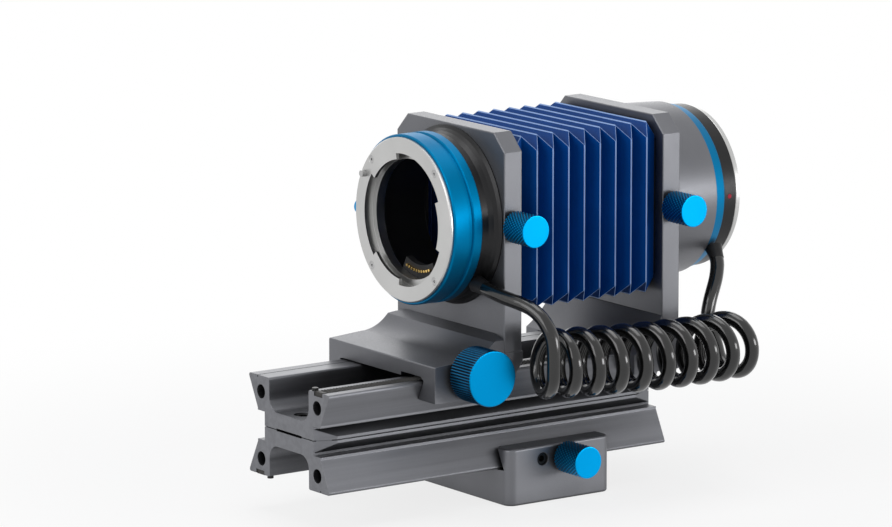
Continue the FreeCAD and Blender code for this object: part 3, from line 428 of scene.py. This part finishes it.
def turned_piece(name, profile, side, centre, segments, radial, groove_shade_fill):
    """Revolve an (along, radius) profile, in mm, about the line through centre along X, towards side.

    radial(along, radius, angle) returns the radius with its knurl. The knurl's grooves are darkened with
    painted shade, the dark groove colour, by the last argument = (depth of full colour, power).
    """
    along = Vector((side, 0, 0))
    first = UP.cross(along).normalized()
    second = along.cross(first)
    vertices, groove = [], []
    for distance, radius in profile:
        for number in range(segments):
            angle = 2 * math.pi * number / segments
            r = radial(distance, radius, angle)
            # how much painted shade each point gets, by the depth of its groove
            groove.append(min(1.0, (radius - r) / groove_shade_fill[0]) ** groove_shade_fill[1])
            outward = turned(first, second, angle)
            vertices.append((Vector(centre) + along * distance + outward * r) * MM)
    piece = mesh_object(name, vertices, list(ring_faces(len(profile), segments)))
    piece.data.attributes.new("groove", "FLOAT", "POINT").data.foreach_set("value", groove)
    builder = bmesh.new()
    builder.from_mesh(piece.data)
    bmesh.ops.remove_doubles(builder, verts=builder.verts, dist=1e-7)
    bmesh.ops.recalc_face_normals(builder, faces=builder.faces)
    builder.to_mesh(piece.data)
    builder.free()
    return piece


# ---------------------------------------------------------------- curly cord

FRONT_LEAD = [
    (25.4, -31.0, 82.0), (31.5, -31.0, 80.9), (38.5, -29.8, 79.5), (45.2, -28.2, 78.5),
    (50.7, -26.8, 77.2), (55.2, -25.4, 74.2), (58.3, -24.3, 69.8), (59.6, -23.6, 65.2),
]
REAR_LEAD = [
    (26.7, 75.0, 82.6), (28.7, 74.5, 80.2), (30.2, 73.2, 77.0), (31.3, 71.7, 73.7), (32.4, 69.6, 70.5),
    (33.4, 67.4, 66.8), (33.8, 66.0, 62.0), (33.8, 65.9, 57.4), (35.0, 67.8, 53.6),
]
COIL_AXIS = [(49.3, -23.9, 56.4), (52.9, 24.9, 54.2), (46.9, 70.5, 52.6)]
COIL_RADIUS = 10.2
COIL_TURNS = 9.75
FIRST_TURN, LAST_TURN = 0.28, 9.72
POINTS_PER_TURN = 14
FRONT_CROWDING = 0.036         # the middle turns lie this share of the coil nearer to its front end
CORD_DIAMETER = 5.2


def coil_axis(share):
    """Point on the coil's bowed axis and its heading, from a parabola through the three points."""
    a, m, b = (Vector(point) for point in COIL_AXIS)
    control = m * 2 - (a + b) / 2
    point = a * (1 - share) ** 2 + control * 2 * share * (1 - share) + b * share ** 2
    heading = (control - a) * (1 - share) + (b - control) * share
    return point, heading.normalized()


def coil_points():
    """Turns that go down on the near side, from the front lead to the rear one.

    The curve runs a little inside its control points, which stand that much further out.
    """
    control_radius = COIL_RADIUS / (0.75 + 0.25 * math.cos(2 * math.pi / POINTS_PER_TURN))
    count = round((LAST_TURN - FIRST_TURN) * POINTS_PER_TURN)
    points = []
    for number in range(count + 1):
        turn = FIRST_TURN + (LAST_TURN - FIRST_TURN) * number / count
        share = turn / COIL_TURNS
        centre, heading = coil_axis(share - FRONT_CROWDING * math.sin(math.pi * share ** 0.75))
        angle = math.pi / 2 - 2 * math.pi * turn
        points.append(centre + turned(*directions_across(heading), angle) * control_radius)
    return points


def evaluated_mesh(line):
    return bpy.data.meshes.new_from_object(line.evaluated_get(bpy.context.evaluated_depsgraph_get()))


def make_cord():
    """The whole cord as one tube, with its centre line measured before the tube is given its thickness."""
    route = [Vector(p) for p in FRONT_LEAD] + coil_points() + [Vector(p) for p in reversed(REAR_LEAD)]
    data = bpy.data.curves.new("curly_cord", "CURVE")
    data.dimensions = "3D"
    data.resolution_u = 4
    spline = data.splines.new("NURBS")
    spline.points.add(len(route) - 1)
    for point, place in zip(spline.points, route):
        point.co = (*(place * MM), 1)
    spline.order_u = 3
    spline.use_endpoint_u = True
    line = bpy.data.objects.new("cord_line", data)
    bpy.context.scene.collection.objects.link(line)
    path = [vertex.co.copy() for vertex in evaluated_mesh(line).vertices]
    data.bevel_depth = CORD_DIAMETER / 2 * MM
    data.bevel_resolution = 6
    bpy.context.view_layer.update()
    skin = evaluated_mesh(line)
    skin.name = "curly_cord"
    cord = bpy.data.objects.new("curly_cord", skin)
    bpy.context.scene.collection.objects.link(cord)
    bpy.data.objects.remove(line)
    skin.shade_smooth()
    wear(cord, "cord_jacket")
    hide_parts("cord_front_lead", "cord_coil", "cord_rear_lead")
    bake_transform(cord)


BOOT_SIDES = 32
BOOT_STEPS = 6                 # rings between two points of the lead
BOOT_START = 2.5               # a boot begins this far inside the adapter
BOOT_RADIUS = 3.3
BOOT_GRIP = 0.02               # its thin end stands this far off the cord


def make_boot(name, node, body, lead, reach):
    """A tapered rubber sleeve round the first part of a lead, closed at both ends."""
    corners = [Vector(point) for point in lead]
    line = [corners[0] + (corners[0] - corners[1]).normalized() * BOOT_START, *corners]
    path, travelled = [], 0.0
    for here, there in zip(line, line[1:]):
        span = (there - here).length
        shares = [step / BOOT_STEPS for step in range(BOOT_STEPS)]
        path += [(travelled + span * share, here.lerp(there, share)) for share in shares]
        travelled += span
    path = [(at, point) for at, point in path if at < BOOT_START + reach]
    last = path[-1][0]
    narrow = CORD_DIAMETER / 2 + BOOT_GRIP
    vertices = []
    for index, (at, point) in enumerate(path):
        before, after = path[max(index - 1, 0)][1], path[min(index + 1, len(path) - 1)][1]
        sideways, upwards = directions_across((after - before).normalized())
        radius = narrow + (BOOT_RADIUS - narrow) * (1 - at / last) ** 1.5
        for number in range(BOOT_SIDES):
            angle = 2 * math.pi * number / BOOT_SIDES
            vertices.append((point + turned(sideways, upwards, angle) * radius) * MM)
    faces = [tuple(reversed(range(BOOT_SIDES))),
             tuple(range(len(vertices) - BOOT_SIDES, len(vertices)))]
    piece = mesh_object(name, vertices, faces + list(ring_faces(len(path), BOOT_SIDES)))
    sharpen(piece, 50)
    wear(piece, "black_rubber")
    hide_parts(node)
    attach(piece, body)


make_cord()
make_boot("front_boot_sleeve", "front_cord_boot", "front_carriage", FRONT_LEAD, 4.0)
make_boot("rear_boot_sleeve", "rear_cord_boot", "rails", REAR_LEAD, 3.0)


# ---------------------------------------------------------------- bellows

FRONT_PLATE_REAR = -18.5       # the two faces that the bellows joins
REAR_PLATE_FRONT = 45.2
FOLDS = 9
CREST_HALF = 0.28              # half the width of the painted highlight line on a crest
SIDE_VALLEY, SIDE_CREST = 28.0, 33.3
TOP_VALLEY, TOP_CREST = 26.7, 31.75
CORNER_CUT = 0.35
CORNER_HIGHLIGHT = 0.7              # how strongly the cut corners carry the painted highlight, where a crest has 1
BELLOWS_Z = AXIS_Z - 0.4
GLUE_GAP = 0.05                # between the skin's ends and the plates


def bellows_section(width, height, y):
    """The eight corners of a ring: an upright rectangle of these half sizes with its corners cut."""
    cut = CORNER_CUT
    right = [(width, cut - height), (width, height - cut), (width - cut, height)]
    left = [(cut - width, height), (-width, height - cut), (-width, cut - height),
            (cut - width, -height), (width - cut, -height)]
    return [Vector((x, y, BELLOWS_Z + z)) * MM for x, z in right + left]


def make_bellows():
    """Pleated skin: side crests on the whole folds, top and bottom crests on the half folds."""
    start, end = FRONT_PLATE_REAR + GLUE_GAP, REAR_PLATE_FRONT - GLUE_GAP
    pitch = (end - start) / FOLDS
    line = CREST_HALF / pitch
    steps = [0, line, 0.25, 0.5 - line, 0.5, 0.5 + line, 0.75, 1 - line]
    positions = [fold + step for fold in range(FOLDS) for step in steps] + [FOLDS]
    vertices = []
    for position in positions:
        swing = abs(2 * (position % 1) - 1)          # 1 on whole folds, 0 on half folds
        inner = 0.5 < position < FOLDS - 0.5         # both ends are as narrow as their frames
        side = SIDE_VALLEY + (SIDE_CREST - SIDE_VALLEY) * swing * inner
        top = TOP_VALLEY + (TOP_CREST - TOP_VALLEY) * (1 - swing)
        vertices += bellows_section(side, top, start + position * pitch)
    faces = [(a, d, c, b) for a, b, c, d in ring_faces(len(positions), 8)]
    per_fold, crest = len(steps), []
    for ring in range(len(positions) - 1):
        at_side = ring % per_fold in (0, per_fold - 1) and per_fold <= ring + 1 < per_fold * FOLDS
        at_top = ring % per_fold in (3, 4)
        # the crest attribute marks where the highlight is painted
        crest += [float(at_side), CORNER_HIGHLIGHT, float(at_top), CORNER_HIGHLIGHT] * 2
    piece = mesh_object("bellows_skin", vertices, faces, smooth=False)
    piece.data.attributes.new("crest", "FLOAT", "FACE").data.foreach_set("value", crest)
    return piece


bellows = make_bellows()
wear(bellows, "bellows_cloth")
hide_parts("bellows")
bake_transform(bellows)


# ---------------------------------------------------------------- knobs

BLOCK_KNOB, CARRIAGE_KNOB, ADAPTER_KNOB = 31.8, 34.6, 34.5      # inner ends, from the middle plane
DRIVE_RADIUS, DRIVE_LENGTH = 10.15, 12.9
DRIVE_FLUTES, FLUTE_DEPTH = 60, 0.42
LOCK_RADIUS, LOCK_LENGTH = 5.95, 12.7
LOCK_DIAMONDS, DIAMOND_PITCH, DIAMOND_DEPTH = 30, 1.8, 0.3
PLAIN_BAND = 0.05              # rings that are thinner than the knob by this much carry no knurl


def triangle(value):
    """0 in a groove, 1 half way between two."""
    return 1 - abs(2 * (value % 1) - 1)


def knob_profile(inner, outer, radius, knurl_inner, knurl_outer, rows):
    """(along, radius) points from the inner end's centre, over the knurl, to the outer end's centre."""
    steps = [knurl_inner + (knurl_outer - knurl_inner) * i / rows for i in range(rows + 1)]
    return ([(inner, 0.01), (inner, radius - 1.6), (inner + 0.35, radius - 0.9)]
            + [(s, radius) for s in steps]
            + [(outer - 0.2, radius - 0.08), (outer - 0.06, radius - 0.16), (outer, radius - 0.3),
               (outer, radius - 0.4), (outer, radius * 0.5), (outer, 0.01)])


def drive_knob(name, node, body, y, z, side, inner):
    """A large knob with straight flutes."""
    outer = inner + DRIVE_LENGTH

    def fluted(along, r, angle):
        if r < DRIVE_RADIUS - PLAIN_BAND:
            return r
        groove = triangle(angle * DRIVE_FLUTES / (2 * math.pi))
        return r - FLUTE_DEPTH * (1 - groove) ** 1.5

    profile = knob_profile(inner, outer, DRIVE_RADIUS, inner + 0.9, outer - 0.5, 6)
    piece = turned_piece(name, profile, side, (0, y, z), DRIVE_FLUTES * 6, fluted, (0.24, 0.6))
    dress_knob(piece, "drive_blue", node, body)


def lock_knob(name, node, body, y, z, side, inner, length=LOCK_LENGTH):
    """A small knob with a fine diamond knurl."""
    outer = inner + length

    def knurled(along, r, angle):
        if r < LOCK_RADIUS - PLAIN_BAND:
            return r
        around = angle * LOCK_DIAMONDS / (2 * math.pi)
        spiral = (along - inner) / DIAMOND_PITCH
        return r - DIAMOND_DEPTH * (1 - min(triangle(around + spiral), triangle(around - spiral)))

    profile = knob_profile(inner, outer, LOCK_RADIUS, inner + 0.9, outer - 0.4, 72)
    piece = turned_piece(name, profile, side, (0, y, z), LOCK_DIAMONDS * 6, knurled, (0.3, 2.2))
    dress_knob(piece, "anodised_blue", node, body)


def dress_knob(piece, material, node, body):
    sharpen(piece, 35)
    wear(piece, material)
    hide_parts(node)
    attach(piece, body)


drive_knob("front_drive_knob_fluted", "front_drive_knob", "extension_drive", -41.6, 52.75, 1, CARRIAGE_KNOB)
drive_knob("focus_drive_knob_fluted", "focus_drive_knob", "focus_drive", -4.2, 10.45, -1, BLOCK_KNOB)
lock_knob("focus_lock_knob_knurled", "focus_lock_knob", "focus_lock", 2.7, 16.1, 1, BLOCK_KNOB, 13.7)
lock_knob("carriage_lock_knob_knurled", "carriage_lock_knob", "extension_lock",
          -34.7, 46.4, -1, CARRIAGE_KNOB)
lock_knob("front_lock_knob_knurled", "front_lock_knob", "front_adapter_lock",
          -22.4, AXIS_Z, 1, ADAPTER_KNOB)
lock_knob("rear_lock_knob_knurled", "rear_lock_knob", "rear_adapter_lock", 49.1, AXIS_Z, 1, ADAPTER_KNOB)


# ---------------------------------------------------------------- springs

def squeeze(node):
    """A steel copy of a spring solid, standing in place of the solid."""
    solid = frame["nodes"][node]
    mesh = solid.data.copy()
    mesh.transform(solid.matrix_world)
    spring = bpy.data.objects.new(node + "_coil", mesh)
    bpy.context.scene.collection.objects.link(spring)
    wear(spring, "steel")
    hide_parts(node)
    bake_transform(spring)


squeeze("release_spring")
squeeze("lock_pin_spring")


# ---------------------------------------------------------------- finishes of the solids

OWN_FINISH = {"upper_rail": "rail_grey", "lower_rail": "rail_grey", "upper_rack": "rack_steel",
              "lower_rack": "rack_steel", "front_ring": "ring_blue", "rear_ring": "ring_blue"}
for row in frame["record"]["subparts"]:
    piece = frame["nodes"][row["node"]]
    if piece.hide_render:
        continue
    material = MATERIALS[OWN_FINISH.get(row["node"], row["material_slot"])]
    piece.data.materials.clear()
    piece.data.materials.append(material)
